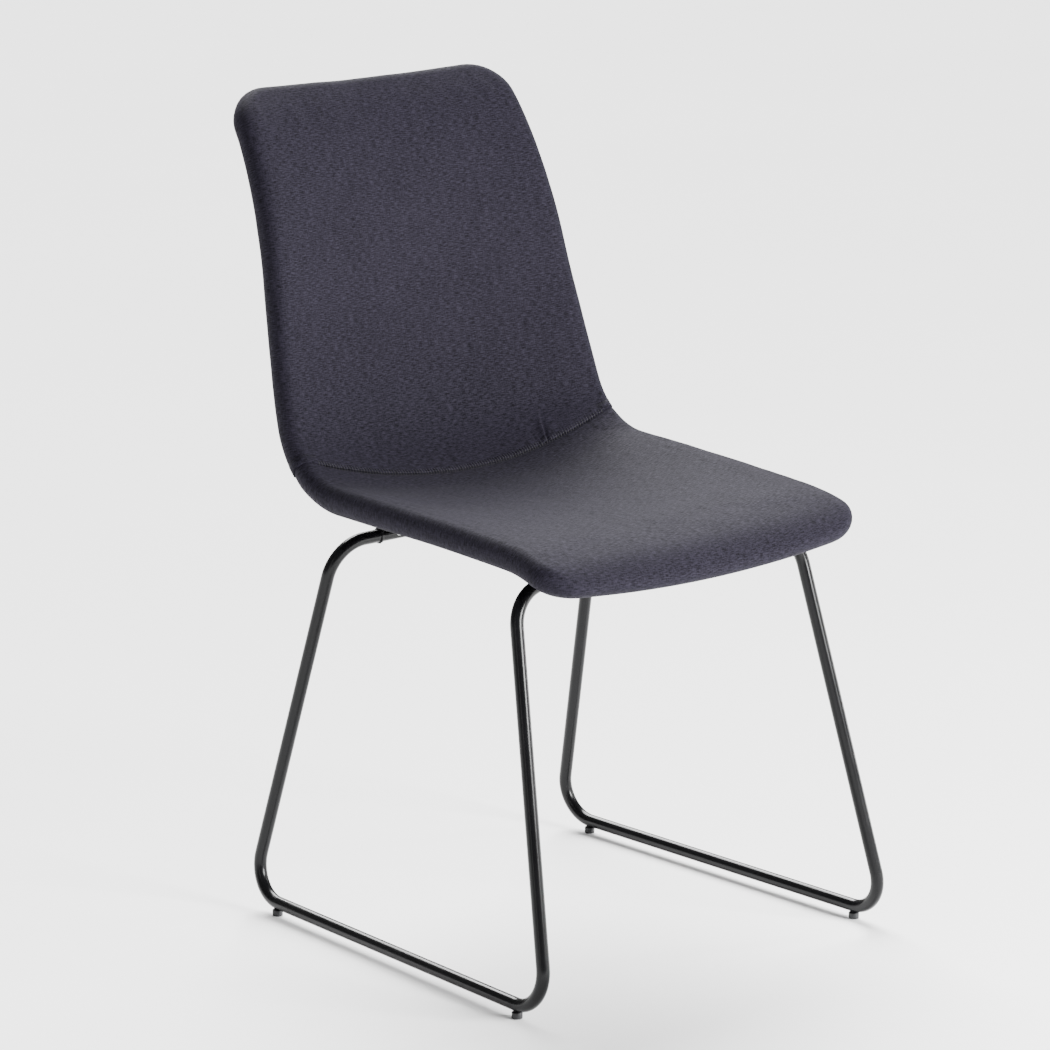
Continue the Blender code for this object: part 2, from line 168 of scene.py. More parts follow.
def make_birch():
    """Birch veneer, sanded and unfinished: pale and close-grained, with long soft streaks and fine pores."""
    birch, tree, shader = new_material("birch_plywood")
    place = add(tree, "TexCoord").outputs["Object"]
    grain_way = add(tree, "Mapping", {"Scale": (1 / (7 * MM), 1 / (90 * MM), 1 / (90 * MM))},
                    {"Vector": place}).outputs[0]
    grain = add(tree, "TexNoise", {"Scale": 1, "Detail": 6, "Distortion": 0.6},
                {"Vector": grain_way}).outputs["Fac"]
    pore_way = add(tree, "Mapping", {"Scale": (1 / (0.9 * MM), 1 / (11 * MM), 1 / (11 * MM))},
                   {"Vector": place}).outputs[0]
    pores = add(tree, "TexNoise", {"Scale": 1, "Detail": 3}, {"Vector": pore_way}).outputs["Fac"]
    share = add(tree, "Mix", {0: 0.3}, {2: grain, 3: pores}).outputs[0]
    share = add(tree, "MapRange", {"From Min": 0.35, "From Max": 0.65}, {"Value": share}).outputs[0]
    tone = add(tree, "Mix", {MIX_A: linear("#B98F5F"), MIX_B: linear("#DDBD8E")}, {0: share},
               data_type="RGBA").outputs[MIXED]
    bump = add(tree, "Bump", {"Strength": 0.3, "Distance": 0.2 * MM}, {"Height": pores}).outputs[0]
    rough = add(tree, "MapRange", {"To Min": 0.7, "To Max": 0.55}, {"Value": share}).outputs[0]
    wire(tree, shader, tone, rough, bump)
    return birch


def give_finish(node, finish):
    """Puts a finish on every material slot of a CAD piece that is kept as it is."""
    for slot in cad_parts[node].material_slots:
        slot.material = finish


give_finish("plywood_shell", make_birch())


# ---- foam and felt pads ---------------------------------------------------------------------------------
# In front of the plywood lie two pads of cut polyurethane foam, and behind it two of thin needled felt,
# all sprayed with contact glue. They meet under the seam, where they are pinched down to make its groove.

CHAIR_MIDDLE = 45.2 * MM            # the shell's profile is drawn from the middle of the sled base

# The side edge of the shell's front face starts at the front lip and runs back and up in arcs.
LIP = (-239 * MM, 441 * MM, radians(58))
PROFILE = (                         # each arc's length and the turn it makes
    (39 * MM, radians(-40)),        # front lip
    (56 * MM, radians(-14.4)),      # waterfall
    (264 * MM, radians(-2)),        # seat
    (90 * MM, radians(71.3)),       # bend from the seat up into the back
    (155 * MM, radians(4)),         # lumbar part of the back
    (152 * MM, radians(-18.3)),     # upper back, leaning away
    (71 * MM, radians(-26)),        # rolled top
)
LENGTH = sum(length for length, turn in PROFILE)
BEND = sum(length for length, turn in PROFILE[:3]) + PROFILE[3][0] / 2
LIP_BOW = 20 * MM                   # how far the front lip bulges forward in the middle
BOW_REACH = 100 * MM
HALF_WIDTH = ((0, 218), (100, 213), (404, 219), (604, 202), (807, 184.5))
DISH = ((0, 3), (90, 8), (180, 15.5), (280, 26), (404, 29), (504, 33), (684, 21), (827, 4))
THICKNESS = ((0, 28.5), (350, 28.5), (500, 33), (827, 33))
CORNER = (44 * MM, 48 * MM)         # outline corners at the front lip and at the top
EDGE_ROUND = 0.92                   # how far in the edge rounding reaches, as a share of half the thickness
HALF_GAP = 0.7 * MM                 # taken up where the front and rear halves meet

SEAM_EDGE = BEND + 8.5 * MM         # where the seat and back panels meet at the shell's side edges
SEAM_SAG = 24 * MM                  # how much lower the seam runs in the middle
SAG_FROM = 230 * MM                 # the seat's rows start to follow the sagging seam here
SAG_TO = 190 * MM                   # and the back's are level again this far above it
CORNER_ROWS = 10

PAD_IN = 2.8 * MM                   # from the cover's face to the pads'
PLY = 9 * MM
PLY_INSET = 12 * MM
PLY_CLEAR = 2 * MM
PLY_BACK = 11.7 * MM                # from the rear face to the middle of the plywood
PAD_COLUMNS = 28


def along(table, t):
    """Value in metres at t, on a smooth curve through a table of millimetre stations and values."""
    t = t / MM
    last = len(table) - 1
    i = 0
    while i < last - 1 and t > table[i + 1][0]:
        i += 1
    (a, low), (b, high) = table[i], table[i + 1]
    slope = []
    for j in (i, i + 1):
        before, after = table[max(j - 1, 0)], table[min(j + 1, last)]
        slope.append((after[1] - before[1]) / (after[0] - before[0]))
    span = b - a
    s = min(max((t - a) / span, 0), 1)
    return (low * (1 + 2 * s) * (1 - s) ** 2 + high * s * s * (3 - 2 * s)
            + span * slope[0] * s * (1 - s) ** 2 - span * slope[1] * s * s * (1 - s)) * MM


def profile(t):
    """Side edge of the front face at arc length t: its y, z and heading. Before 0 the first arc runs on."""
    y, z, heading = LIP
    for number, (length, turn) in enumerate(PROFILE):
        step = t if number == len(PROFILE) - 1 else min(t, length)
        rate = turn / length
        end = heading + rate * step
        y += (sin(end) - sin(heading)) / rate
        z += (cos(heading) - cos(end)) / rate
        heading = end
        t -= step
        if t <= 0:
            break
    return y - CHAIR_MIDDLE, z, heading


def slab_point(x, t, side, half, turn=pi / 2, out=(0, 0), lift=0.0, shift=0.0):
    """A point of a layer whose half-thickness is half and whose middle lies shift behind the shell's. turn
    goes from 0 on the layer's edge to pi/2 where its face is flat. side is -1 on the front face and 1 on
    the rear one. out is the way off the edge, across and along. lift raises the point off the layer."""
    crown = 1 - (x / along(HALF_WIDTH, t)) ** 2
    y, z, heading = profile(t - LIP_BOW * crown * max(1 - t / BOW_REACH, 0))
    back = Vector((0, sin(heading), -cos(heading)))
    ahead = Vector((0, cos(heading), sin(heading)))
    offset = along(DISH, t) * crown + along(THICKNESS, t) / 2 + shift + side * half * sin(turn)
    normal = back * side * sin(turn) + (Vector((out[0], 0, 0)) + ahead * out[1]) * cos(turn)
    return Vector((x, y, z)) + back * offset + normal * lift


def ease(value):
    value = min(max(value, 0), 1)
    return value * value * (3 - 2 * value)


def corner_rows(top):
    """Rows through the rounded corners of one end, as (angle round the corner, t, seam sag, lift). They have
    no t of their own; a sag of -1 marks the top."""
    rows = [(pi / 2 * i / CORNER_ROWS, None, -1.0 if top else 0.0, 0.0) for i in range(CORNER_ROWS)]
    return rows[::-1] if top else rows


def row_place(row, depth):
    """Half width, t, and way off the edge at a row, on the outline moved inward by depth."""
    angle, t = row[:2]
    if t is not None:
        return along(HALF_WIDTH, t) - depth, t, (1.0, 0.0)
    top = row[2] < 0
    corner = CORNER[top]
    lead = corner - (corner - depth) * cos(angle)
    t = LENGTH - lead if top else lead
    half = along(HALF_WIDTH, t) - corner + (corner - depth) * sin(angle)
    return half, t, (sin(angle), cos(angle) if top else -cos(angle))


def pad_point(row, u, side, inset, half, middle, lift):
    """A point of a pad's face, from its place on a row."""
    reach, t, _ = row_place(row, inset)
    x = u * reach
    width = along(HALF_WIDTH, t) - inset
    end_gap = min(t, LENGTH - t) - inset
    corner = CORNER[t > LENGTH / 2] - inset
    side_gap = width - abs(x)
    if side_gap < corner and end_gap < corner:
        depth = corner - hypot(corner - side_gap, corner - end_gap)
    else:
        depth = min(side_gap, end_gap)
    thick = along(THICKNESS, t)
    half = half if half else thick / 2 - inset
    turn = acos(1 - min(max(depth, 0) / (EDGE_ROUND * half), 1))
    sag = max(row[2], 0) * SEAM_SAG * (1 - (x / along(HALF_WIDTH, t)) ** 2)
    shift = thick / 2 - middle if middle else 0
    return slab_point(x, t - sag, side, half + HALF_GAP, turn, lift=lift, shift=shift)


def make_pad(name, node, rows, side, finish):
    """A closed pad between the cover and the plywood: near and far faces, joined round the rim."""
    bm = bmesh.new()
    across = [sin(pi / 2 * (2 * i / PAD_COLUMNS - 1)) for i in range(PAD_COLUMNS + 1)]
    faces = []
    for inset, half, middle, lifted in ((PAD_IN, 0, 0, 1), (PLY_INSET - PLY_CLEAR, PLY / 2 + PLY_CLEAR,
                                                            PLY_BACK, 0)):
        faces.append([[bm.verts.new(pad_point(row, u, side, inset, half, middle, lifted * row[3]))
                       for u in across] for row in rows])
    for table in faces:
        for low, high in zip(table, table[1:]):
            for i in range(PAD_COLUMNS):
                bm.faces.new((low[i], low[i + 1], high[i + 1], high[i]))
    near, far = ([r[0] for r in table] + table[-1][1:-1] + [r[-1] for r in table[::-1]] + table[0][-2:0:-1]
                 for table in faces)
    for i in range(len(near)):
        j = (i + 1) % len(near)
        bm.faces.new((near[i], near[j], far[j], far[i]))
    pad = finish_mesh(name, bm, finish, 50)
    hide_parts(node)
    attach(pad, "root")


def finish_mesh(name, bm, finish, smooth_under=40):
    bmesh.ops.recalc_face_normals(bm, faces=bm.faces)
    mesh = bpy.data.meshes.new(name)
    bm.to_mesh(mesh)
    bm.free()
    mesh.shade_smooth()
    mesh.set_sharp_from_angle(angle=radians(smooth_under))
    mesh.materials.append(finish)
    return link_object(name, mesh)


def make_foam():
    """Open-cell polyurethane foam, cut from a block: cream, matt, its surface all small cut cells. Real
    cells are under 1 mm; they are drawn at 2 mm."""
    foam, tree, shader = new_material("polyurethane_foam")
    place = add(tree, "TexCoord").outputs["Object"]
    cells = add(tree, "TexVoronoi", {"Scale": 1 / (2 * MM)}, {"Vector": place}).outputs["Distance"]
    tint = add(tree, "TexNoise", {"Scale": 14, "Detail": 3}, {"Vector": place}).outputs["Fac"]
    tone = add(tree, "Mix", {MIX_A: linear("#D8CDA6"), MIX_B: linear("#EFE8CC")}, {0: tint},
               data_type="RGBA").outputs[MIXED]
    # Painted shade: the dents along the cells' edges, where the bump sinks in, are painted darker than the
    # cream.
    painted_cell_shade = add(tree, "Mix", {MIX_B: linear("#A99C74")}, {0: cells, MIX_A: tone},
                data_type="RGBA").outputs[MIXED]
    bump = add(tree, "Bump", {"Strength": 0.6, "Distance": 0.6 * MM}, {"Height": cells}, invert=True)
    rough = add(tree, "MapRange", {"To Min": 0.9, "To Max": 1.0}, {"Value": cells}).outputs[0]
    wire(tree, shader, painted_cell_shade, rough, bump.outputs[0])
    return foam


def make_felt():
    """Needled polyester felt: grey, matt, a mat of tangled fibres with darker and lighter strands."""
    felt, tree, shader = new_material("needled_felt")
    place = add(tree, "TexCoord").outputs["Object"]
    fibres = add(tree, "TexNoise", {"Scale": 1 / (3 * MM), "Detail": 5, "Distortion": 2.5},
                 {"Vector": place}).outputs["Fac"]
    share = add(tree, "MapRange", {"From Min": 0.3, "From Max": 0.7}, {"Value": fibres}).outputs[0]
    tone = add(tree, "Mix", {MIX_A: linear("#5F6062"), MIX_B: linear("#A2A3A4")}, {0: share},
               data_type="RGBA").outputs[MIXED]
    bump = add(tree, "Bump", {"Strength": 0.5, "Distance": 0.5 * MM}, {"Height": fibres}).outputs[0]
    rough = add(tree, "MapRange", {"To Min": 0.88, "To Max": 1.0}, {"Value": share}).outputs[0]
    wire(tree, shader, tone, rough, bump)
    return felt


PAD_ROWS = 40
GROOVE = 2.6 * MM                   # how deep the seam pinches the foam


def make_pads():
    seat = corner_rows(False)
    for i in range(PAD_ROWS + 1):
        t = CORNER[0] + (SEAM_EDGE - MM - CORNER[0]) * i / PAD_ROWS
        seat.append((pi / 2, t, ease((t - SAG_FROM) / (SEAM_EDGE - SAG_FROM)),
                     -GROOVE * ease(1 - (SEAM_EDGE - t) / (20 * MM))))
    back = []
    for i in range(PAD_ROWS + 1):
        up = MM + (LENGTH - CORNER[1] - SEAM_EDGE - MM) * i / PAD_ROWS
        back.append((pi / 2, SEAM_EDGE + up, ease(1 - up / SAG_TO), -GROOVE * ease(1.6 - up / (16 * MM))))
    back += corner_rows(True)
    foam, felt = make_foam(), make_felt()
    make_pad("seat_foam_pad", "seat_foam", seat, -1, foam)
    make_pad("back_foam_pad", "back_foam", back, -1, foam)
    flat_seat = [(angle, t, 0.0, 0.0) for angle, t, sag, lift in seat if t is None or t < BEND - MM]
    flat_back = [(angle, t, min(sag, 0.0), 0.0) for angle, t, sag, lift in back]
    flat_back.insert(0, (pi / 2, BEND + MM, 0.0, 0.0))
    make_pad("seat_felt_pad", "seat_felt", flat_seat, 1, felt)
    make_pad("back_felt_pad", "back_felt", flat_back, 1, felt)


make_pads()


# ---- seat cover -----------------------------------------------------------------------------------------
# The seat's front panel of charcoal polyester upholstery fabric, cut from the roll, pulled over the foam
# and wrapped round the edges of the shell. At the bend it runs in under the hem of the back panel.

CLOTH = 1.1 * MM
WRAP_END = radians(57)              # how far round onto the rear face the front panels reach
HALF_TURN_STEPS = 9
HEM_FADE_FROM = 0.84                # share of the half width where a hem starts to lie flatter
HEM_FADE = 0.65                     # how much of its height it loses by the side edge
PANEL_COLUMNS = 120
SEAT_RISE = 1.1 * MM                # how far the cloth billows off the foam
BACK_RISE = 0.9 * MM
THREAD_SPACING = 0.8 * MM           # as drawn; the real yarns are finer


def lay_panel(name, rows, side, wraps, columns, relief, inset=0.0):
    """A sewn panel: a grid over the flat of one face and rings that follow the outline round its edge.
    rows run from front to top. wraps lists (turn, side, lift) for each ring outward from the grid."""
    points, cloth, faces = [], [], []

    def put(row, u, turn, face, lift):
        nominal = row[1] if row[1] is not None else (LENGTH if row[2] < 0 else 0)
        half = along(THICKNESS, nominal) / 2 + HALF_GAP - inset
        rounding = EDGE_ROUND * (along(THICKNESS, nominal) / 2 - inset)
        reach, t, out = row_place(row, inset + rounding * (1 - cos(turn)))
        flat_reach, flat_t, _ = row_place(row, inset + rounding)
        out = (out[0] * (1 if u > 0 else -1), out[1]) if abs(u) == 1 else (0.0, out[1])
        x = u * reach
        sag = max(row[2], 0) * SEAM_SAG * (1 - (x / along(HALF_WIDTH, t)) ** 2)
        flat_sag = max(row[2], 0) * SEAM_SAG * (1 - (u * flat_reach / along(HALF_WIDTH, flat_t)) ** 2)
        flatter = 1 - HEM_FADE * ease((abs(u) - HEM_FADE_FROM) / (1 - HEM_FADE_FROM))
        raised = lift + row[3] * flatter + relief(x, t, row, sag) * sin(turn)
        points.append(slab_point(x, t - sag, face, half, turn, out, raised))
        arc = rounding * (pi / 2 - turn if face == side else pi / 2 + turn)
        cloth.append((u * flat_reach + out[0] * arc, flat_t - flat_sag + out[1] * arc))
        return len(points) - 1

    across = [2 * i / columns - 1 for i in range(columns + 1)]
    grid = [[put(row, u, pi / 2, side, 0.0) for u in across] for row in rows]
    for low, high in zip(grid, grid[1:]):
        for i in range(columns):
            faces.append((low[i], low[i + 1], high[i + 1], high[i]))
    left = [(row, -1.0) for row in rows]
    right = [(row, 1.0) for row in rows]
    if rows[0][1] is None:
        path = left[::-1] + [(rows[0], u) for u in across[1:-1]] + right
        inner = [g[0] for g in grid[::-1]] + grid[0][1:-1] + [g[-1] for g in grid]
    else:
        path = right + [(rows[-1], u) for u in across[-2:0:-1]] + left[::-1]
        inner = [g[-1] for g in grid] + grid[-1][-2:0:-1] + [g[0] for g in grid[::-1]]
    for turn, face, lift in wraps:
        ring = [put(row, u, turn, face, lift) for row, u in path]
        for i in range(len(path) - 1):
            faces.append((inner[i], ring[i], ring[i + 1], inner[i + 1]))
        inner = ring
    if side > 0:
        faces = [f[::-1] for f in faces]
    mesh = bpy.data.meshes.new(name)
    mesh.from_pydata(points, [], faces)
    layer = mesh.uv_layers.new(name="cloth")
    for loop in mesh.loops:
        layer.data[loop.index].uv = cloth[loop.vertex_index]
    mesh.shade_smooth()
    return link_object(name, mesh)


def front_wraps():
    """Rings that carry a front panel round the edge to where it is sewn to the rear panel."""
    steps = [pi / 2 * (1 - i / HALF_TURN_STEPS) for i in range(1, HALF_TURN_STEPS)]
    rings = [(turn, -1, 0.0) for turn in steps]
    rings += [(WRAP_END * i / 6, 1, 0.0) for i in range(6)]
    rings += [(WRAP_END * 0.96, 1, 0.25 * MM), (WRAP_END, 1, 0.1 * MM), (WRAP_END * 1.01, 1, -1.0 * MM)]
    return rings


def finish_cover(cover, finish, node, with_pieces=()):
    """Gives a panel its cloth's thickness and finish."""
    modifier = cover.modifiers.new("cloth_thickness", "SOLIDIFY")
    modifier.thickness = CLOTH
    modifier.offset = -1
    cover.data.materials.append(finish)
    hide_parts(node)
    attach(cover, "root")


def make_fabric(name, dark, light, pitch):
    """Flat-woven polyester upholstery fabric in a charcoal melange with a blue-violet cast: warp and weft
    yarns of slightly different greys give it small light and dark flecks and a soft bloom at grazing
    angles. Real yarns lie 0.5 mm apart; they are drawn half as coarse again, so that they show."""
    fabric, tree, shader = new_material(name)
    place = add(tree, "UVMap", uv_map="cloth").outputs[0]

    def streaks(across, lengthwise, detail, seed):
        scaled = add(tree, "Mapping", {"Scale": (1 / across, 1 / lengthwise, 1),
                                       "Location": (seed, seed * 0.37, 0)}, {"Vector": place})
        return add(tree, "TexNoise", {"Scale": 1, "Detail": detail, "Roughness": 0.6},
                   {"Vector": scaled.outputs[0]}, noise_dimensions="2D").outputs["Fac"]

    warp = streaks(pitch, pitch * 4, 1, 11.0)
    weft = streaks(pitch * 9, pitch, 1, 47.0)
    slub = streaks(24 * MM, pitch * 1.3, 1, 83.0)
    slub_up = streaks(pitch * 1.3, 20 * MM, 1, 29.0)
    cloud = streaks(55 * MM, 55 * MM, 4, 5.0)

    threads = add(tree, "Mapping", {"Scale": (1 / pitch, 1 / pitch, 1)}, {"Vector": place})
    over = add(tree, "TexChecker", {"Color1": (1, 1, 1, 1), "Color2": (0, 0, 0, 1), "Scale": 1},
               {"Vector": threads.outputs[0]}).outputs["Fac"]
    yarn = add(tree, "Mix", {0: 0.25}, {2: weft, 3: warp}).outputs[0]
    crossing = add(tree, "Mix", links={0: over, 2: weft, 3: warp}).outputs[0]
    yarn = add(tree, "Mix", {0: 0.3}, {2: yarn, 3: crossing}).outputs[0]
    slubs = add(tree, "Math", {1: 0.5}, {0: slub, 1: slub_up}, operation="ADD").outputs[0]
    slubs = add(tree, "Math", {1: 0.5}, {0: slubs}, operation="MULTIPLY").outputs[0]
    mixed = add(tree, "Mix", {0: 0.22}, {2: yarn, 3: slubs}).outputs[0]
    mixed = add(tree, "Mix", {0: 0.05}, {2: mixed, 3: cloud}).outputs[0]
    share = add(tree, "MapRange", {"From Min": 0.36, "From Max": 0.65}, {"Value": mixed}).outputs[0]
    tone = add(tree, "Mix", {MIX_A: linear(dark), MIX_B: linear(light)}, {0: share},
               data_type="RGBA").outputs[MIXED]
    shader.inputs["Sheen Weight"].default_value = 0.02
    shader.inputs["Sheen Roughness"].default_value = 0.45
    shader.inputs["Sheen Tint"].default_value = linear("#C9C8D6")
    shader.inputs["Specular IOR Level"].default_value = 0.08
    rough = add(tree, "MapRange", {"To Min": 0.88, "To Max": 0.72}, {"Value": share}).outputs[0]

    wave_x = add(tree, "TexWave", {"Scale": 1 / (pitch * 20)}, {"Vector": place},
                 wave_type="BANDS", bands_direction="X").outputs["Fac"]
    wave_y = add(tree, "TexWave", {"Scale": 1 / (pitch * 20)}, {"Vector": place},
                 wave_type="BANDS", bands_direction="Y").outputs["Fac"]
    weave = add(tree, "Math", links={0: wave_x, 1: wave_y}, operation="MULTIPLY").outputs[0]
    height = add(tree, "Mix", {0: 0.5}, {2: weave, 3: yarn}).outputs[0]
    bump = add(tree, "Bump", {"Strength": 0.45, "Distance": 0.3 * MM}, {"Height": height}).outputs[0]
    wire(tree, shader, tone, rough, bump)
    return fabric


def settle(x, t, scale=70 * MM, height=0.7 * MM):
    """Slow unevenness of foam under cloth."""
    return height * noise(Vector((x / scale, t / scale, 3.7)))


def billow(start, end, sag_from, rise_most):
    """Sews a coarse panel down all round, lets it billow off its foam as cloth, and returns how far it rises
    at a place on the panel. The rise levels off at rise_most, where the foam stops filling the cloth."""
    columns, count, frames = 44, 44, 20
    rows = []
    for i in range(count + 1):
        t = start + (end - start) * i / count
        rows.append((pi / 2, t, ease((t - sag_from) / (end - sag_from)) if end > sag_from else 0.0, 0.0))
    sheet = lay_panel("billow", rows, -1, [], columns, lambda x, t, row, sag: 0.0)
    rest = [vertex.co.copy() for vertex in sheet.data.vertices]
    ways = [vertex.normal.copy() for vertex in sheet.data.vertices]
    sewn = sheet.vertex_groups.new(name="sewn")
    sewn.add([j * (columns + 1) + i for j in range(count + 1) for i in range(columns + 1)
              if j in (0, count) or i in (0, columns)], 1.0, "REPLACE")
    cloth = sheet.modifiers.new("cloth", "CLOTH")
    cloth.settings.quality = 6
    cloth.settings.mass = 0.3
    cloth.settings.tension_stiffness = 25
    cloth.settings.bending_stiffness = 0.8
    cloth.settings.shrink_min = -0.012
    cloth.settings.vertex_group_mass = "sewn"
    cloth.settings.use_pressure = True
    cloth.settings.uniform_pressure_force = 4
    cloth.settings.effector_weights.gravity = 0
    cloth.collision_settings.use_collision = False
    cloth.point_cache.frame_start = 1
    cloth.point_cache.frame_end = frames
    scene = bpy.context.scene
    for number in range(1, frames + 1):
        scene.frame_set(number)
    blown = sheet.evaluated_get(bpy.context.evaluated_depsgraph_get()).data
    rises = [(vertex.co - at).dot(way) for vertex, at, way in zip(blown.vertices, rest, ways)]
    rises = [rise_most * tanh(max(rise, 0) / rise_most) for rise in rises]
    bpy.data.objects.remove(sheet)
    scene.frame_set(1)

    def rise_at(x, t):
        across = (x / (along(HALF_WIDTH, t) - 14 * MM) + 1) / 2 * columns
        up = (t - start) / (end - start) * count
        if not (0 < across < columns and 0 < up < count):
            return 0.0
        i, j = int(across), int(up)
        a, b = across - i, up - j
        at = [rises[(j + q) * (columns + 1) + i + p] for q in (0, 1) for p in (0, 1)]
        return (at[0] * (1 - a) + at[1] * a) * (1 - b) + (at[2] * (1 - a) + at[3] * a) * b

    return rise_at


fabric = make_fabric("woven_charcoal_polyester", "#08070C", "#24212C", THREAD_SPACING)


def make_seat_cover():
    rows = corner_rows(False)
    start, end = CORNER[0], SEAM_EDGE - 14 * MM
    count = round((end - start) / (4.2 * MM))
    for i in range(count + 1):
        t = start + (end - start) * i / count
        rows.append((pi / 2, t, ease((t - SAG_FROM) / (SEAM_EDGE - SAG_FROM)), 0.0))
    # The last rows sink in and pass under the back panel's hem.
    for short, drop in ((11, 0.1), (8, 0.3), (5.5, 0.6), (3.5, 1.1), (2, 1.7), (0.8, 2.4), (-0.6, 3.0),
                        (-3, 3.4), (-8, 3.6)):
        rows.append((pi / 2, SEAM_EDGE - short * MM, 1.0, -drop * MM))

    rise = billow(26 * MM, SEAM_EDGE - 6 * MM, SAG_FROM, SEAT_RISE)

    def relief(x, t, row, sag):
        level = row[1] if row[1] is not None else t
        return settle(x, t) + 0.5 * settle(x, t + 0.4, 22 * MM) + rise(x, level)

    cover = lay_panel("seat_panel", rows, -1, front_wraps(), PANEL_COLUMNS, relief)
    finish_cover(cover, fabric, "seat_cover")


make_seat_cover()


# ---- inner back cover -----------------------------------------------------------------------------------
# The back's front panel, of the same fabric, wrapped over the sides and the rolled top. Its lower edge is
# turned under and hand-sewn down over the seat panel, which gathers the hem in small upright puckers.

PUCKER_PITCH = 3.6 * MM
DART_X = 116 * MM                   # a short pleat where the fullness was taken up
STITCHED_HALF = 196 * MM
THREAD_R = 0.3 * MM
HEM_COLUMNS = 340                   # fine enough to carry the puckers


def hem_relief(x, above):
    """Height of the gathered hem, above it in metres."""
    wander = 0.8 * MM * noise(Vector((x / (9 * MM), 0.4, 0)))
    phase = tau * (x + wander) / PUCKER_PITCH
    groove = (0.5 + 0.5 * cos(phase)) ** 2
    strength = 0.08 + 0.85 * ease((x - 10 * MM) / (110 * MM))
    strength *= 0.75 + 0.5 * noise(Vector((x / (17 * MM), 7.1, 0)))
    fade = exp(-(above / (8.5 * MM)) ** 2)
    gathers = -1.3 * MM * groove * strength * fade
    gathers += 0.5 * MM * noise(Vector((x / (15 * MM), above / (30 * MM), 2.2))) * exp(-above / (28 * MM))
    from_dart = (x - DART_X - 0.42 * above) / MM
    dart = exp(-(above / (22 * MM)) ** 2)
    pleat = dart * (2.5 * MM * exp(-((from_dart + 4.2) / 3.2) ** 2) - 3.0 * MM * exp(-(from_dart / 2.0) ** 2))
    second = (x - DART_X + 13 * MM) / MM
    pleat -= 0.9 * MM * exp(-(second / 1.3) ** 2) * exp(-((above - 9 * MM) / (9 * MM)) ** 2)
    return gathers + pleat


def sweep(bm, points, radii, sides=32, closed=True):
    """A round bar along points, radii giving its radius at each."""
    normal = Vector((0, 0, 1))
    rings = []
    for i, point in enumerate(points):
        tangent = (points[min(i + 1, len(points) - 1)] - points[max(i - 1, 0)]).normalized()
        normal = (normal - tangent * normal.dot(tangent)).normalized()
        across = tangent.cross(normal)
        rings.append([bm.verts.new(point + (normal * cos(tau * k / sides) + across * sin(tau * k / sides))
                                   * radii[i]) for k in range(sides)])
    for low, high in zip(rings, rings[1:]):
        for k in range(sides):
            j = (k + 1) % sides
            bm.faces.new((low[k], low[j], high[j], high[k]))
    if closed:
        bm.faces.new(rings[0][::-1])
        bm.faces.new(rings[-1])
    return rings


def make_stitches():
    """Slip stitches in bonded black polyester thread, from the hem down into the seat panel."""
    thread, tree, shader = new_material("bonded_thread")
    place = add(tree, "TexCoord").outputs["Object"]
    twist = add(tree, "TexNoise", {"Scale": 1 / (0.8 * MM), "Detail": 2}, {"Vector": place}).outputs["Fac"]
    tone = add(tree, "Mix", {MIX_A: linear("#050508"), MIX_B: linear("#141319")}, {0: twist},
               data_type="RGBA").outputs[MIXED]
    rough = add(tree, "MapRange", {"To Min": 0.5, "To Max": 0.75}, {"Value": twist}).outputs[0]
    bump = add(tree, "Bump", {"Strength": 0.4, "Distance": 0.1 * MM}, {"Height": twist}).outputs[0]
    wire(tree, shader, tone, rough, bump)
    bm = bmesh.new()
    half = along(THICKNESS, SEAM_EDGE) / 2 + HALF_GAP
    count = round(2 * STITCHED_HALF / PUCKER_PITCH)
    for i in range(count + 1):
        start = (i - count / 2) * PUCKER_PITCH
        path = []
        for slant, up, lift in ((0, 3.6, 0.2), (0.1, 2.9, 1.0), (0.4, 1.0, 0.8), (0.8, -0.3, -0.5),
                                (1.1, -1.4, -2.4)):
            x = start + (slant + 0.3 * noise(Vector((i * 1.7, up, 0)))) * MM
            sag = SEAM_SAG * (1 - (x / along(HALF_WIDTH, SEAM_EDGE)) ** 2)
            raised = lift * MM + (hem_relief(x, up * MM) if up > 0 else 0)
            path.append(slab_point(x, SEAM_EDGE + up * MM - sag, -1, half, lift=raised))
        sweep(bm, path, [THREAD_R] * len(path), 6)
    stitches = finish_mesh("hem_stitches", bm, thread)
    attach(stitches, "root")
    return stitches


def make_inner_back_cover():
    # The hem is turned under: its first rows lie inside, then the fold's nose, then the face.
    fold = ((9, -1.9), (4, -1.9), (1.2, -1.8), (0.3, -1.5), (0, -0.9), (0.15, -0.3), (0.6, 0.2), (1.5, 0.6))
    rows = [(pi / 2, SEAM_EDGE + up * MM, 1.0, lift * MM) for up, lift in fold]
    up = 3 * MM
    while SEAM_EDGE + up < LENGTH - CORNER[1] - 2 * MM:
        sag = ease(1 - up / SAG_TO)
        rows.append((pi / 2, SEAM_EDGE + up, sag, 0.8 * MM * exp(-(up / (13 * MM)) ** 2)))
        up += (1.3 + 2.9 * ease(up / (30 * MM))) * MM
    rows.append((pi / 2, LENGTH - CORNER[1], 0.0, 0.0))
    rows += corner_rows(True)

    rise = billow(SEAM_EDGE + 4 * MM, LENGTH - 30 * MM, LENGTH, BACK_RISE)

    def relief(x, t, row, sag):
        above = max(t - SEAM_EDGE, 0)
        return settle(x, t) + 0.4 * settle(x, t + 0.4, 22 * MM) + hem_relief(x, above) + rise(x, t)

    cover = lay_panel("inner_back_panel", rows, -1, front_wraps(), HEM_COLUMNS, relief)
    finish_cover(cover, fabric, "inner_back_cover",
                 [make_stitches()])


make_inner_back_cover()


# ---- outer back and underside covers --------------------------------------------------------------------
# The rear panels: the back's is the same fabric, the underside's a thin black woven lining. Both are
# pulled flat over felt, sewn to the front panels all round, and to each other across the bend.

